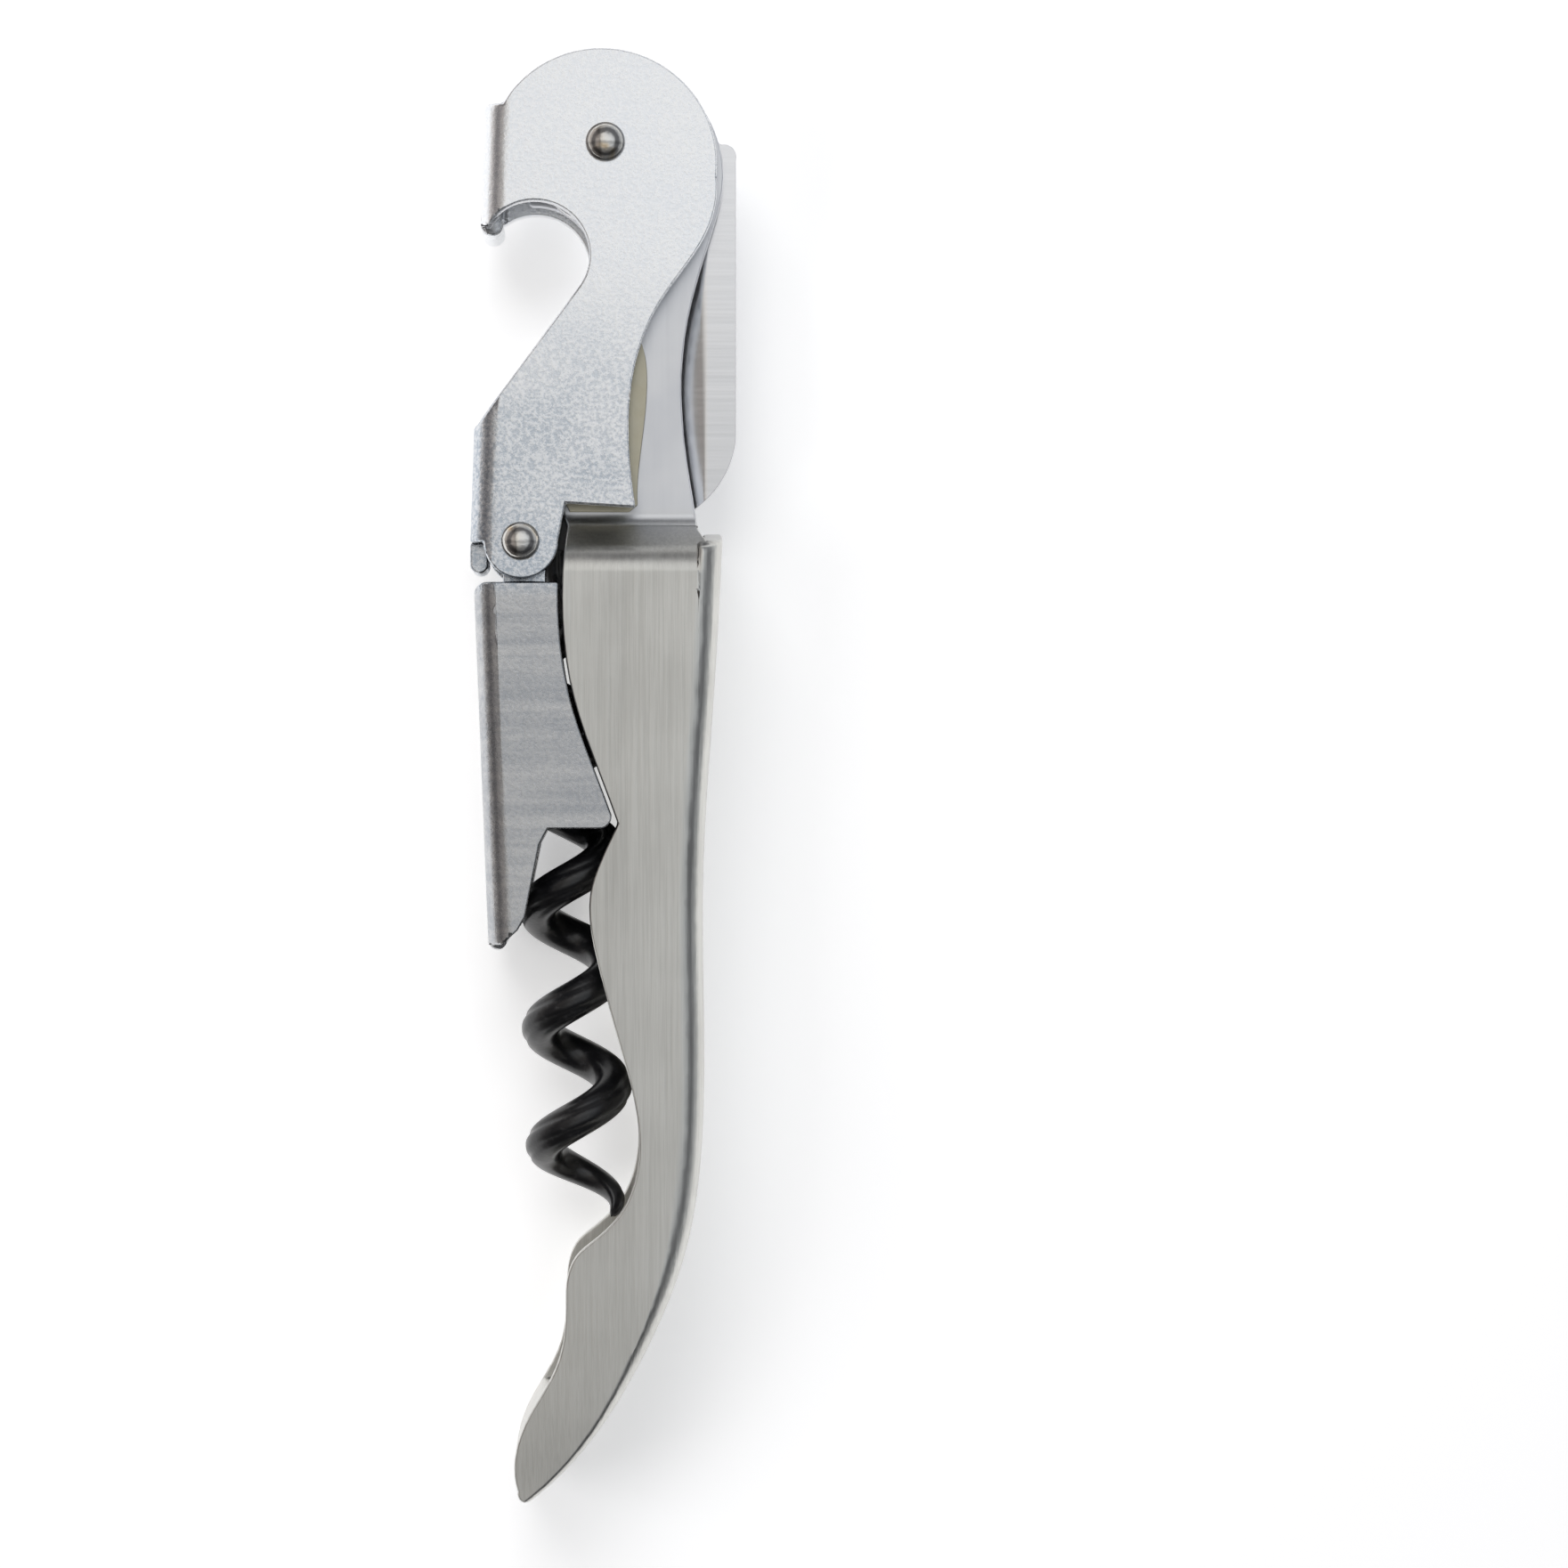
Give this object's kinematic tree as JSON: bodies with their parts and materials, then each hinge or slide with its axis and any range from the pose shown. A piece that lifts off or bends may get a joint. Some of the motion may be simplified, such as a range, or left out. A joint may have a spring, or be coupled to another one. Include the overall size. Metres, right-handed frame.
{
  "type": "lever corkscrew",
  "caption": "Folding lever corkscrew with a hinged stepped lever, bottle-cap hook, coated wire worm and folding foil knife on a wavy folded-steel grip.",
  "frame": {"origin": "under the middle of the closed corkscrew's box, on the surface it lies on", "axes": "+Y along the grip towards the head with the lever rivet, +X towards the grip's back and the folded knife, +Z across the thickness, up from the surface"},
  "size_m": [0.0224, 0.1216, 0.0164],
  "materials": {
    "handle": "satin stainless steel, brushed along its length",
    "lever": "rolled stainless sheet, fine mottle, matt, with granular cut edges",
    "spring_plate": "thin spring steel, bright",
    "rivet": "polished domed steel",
    "washer": "plain steel",
    "worm_coating": "steel wire with a glossy black non-stick coating",
    "blade": "polished stainless steel with a hollow grind"
  },
  "bodies": {
    "handle": {"handle_body": "handle", "blade_stop_plate": "spring_plate", "friction_leaf": "spring_plate", "lever_rivet": "rivet", "worm_rivet": "rivet", "knife_washer": "washer", "lever_washer_near": "washer", "lever_washer_far": "washer"},
    "upper_lever": {"upper_lever": "lever", "hinge_rivet": "rivet"},
    "lower_lever": {"lower_lever": "lever"},
    "worm": {"worm": "worm_coating"},
    "knife": {"knife_blade": "blade"}
  },
  "joints": [
    {"name": "lever_swing", "type": "hinge", "parent": "handle", "child": "upper_lever", "pos_m": [0.00014, 0.05289, 0.0082], "axis": [0, 0, -1], "range_deg": [0, 135]},
    {"name": "link_hinge", "type": "hinge", "parent": "upper_lever", "child": "lower_lever", "pos_m": [-0.00691, 0.01943, 0.0082], "axis": [0, 0, -1], "range_deg": [0, 45]},
    {"name": "worm_swing", "type": "hinge", "parent": "handle", "child": "worm", "pos_m": [-0.00406, 0.03259, 0.0082], "axis": [0, 0, -1], "range_deg": [0, 90]},
    {"name": "knife_swing", "type": "hinge", "parent": "handle", "child": "knife", "pos_m": [0.00014, 0.05289, 0.0082], "axis": [0, 0, 1], "range_deg": [0, 153]}
  ],
  "couplings": [
    {"joint": "worm_swing", "follows": "lever_swing", "ratio": 0.6666}
  ]
}
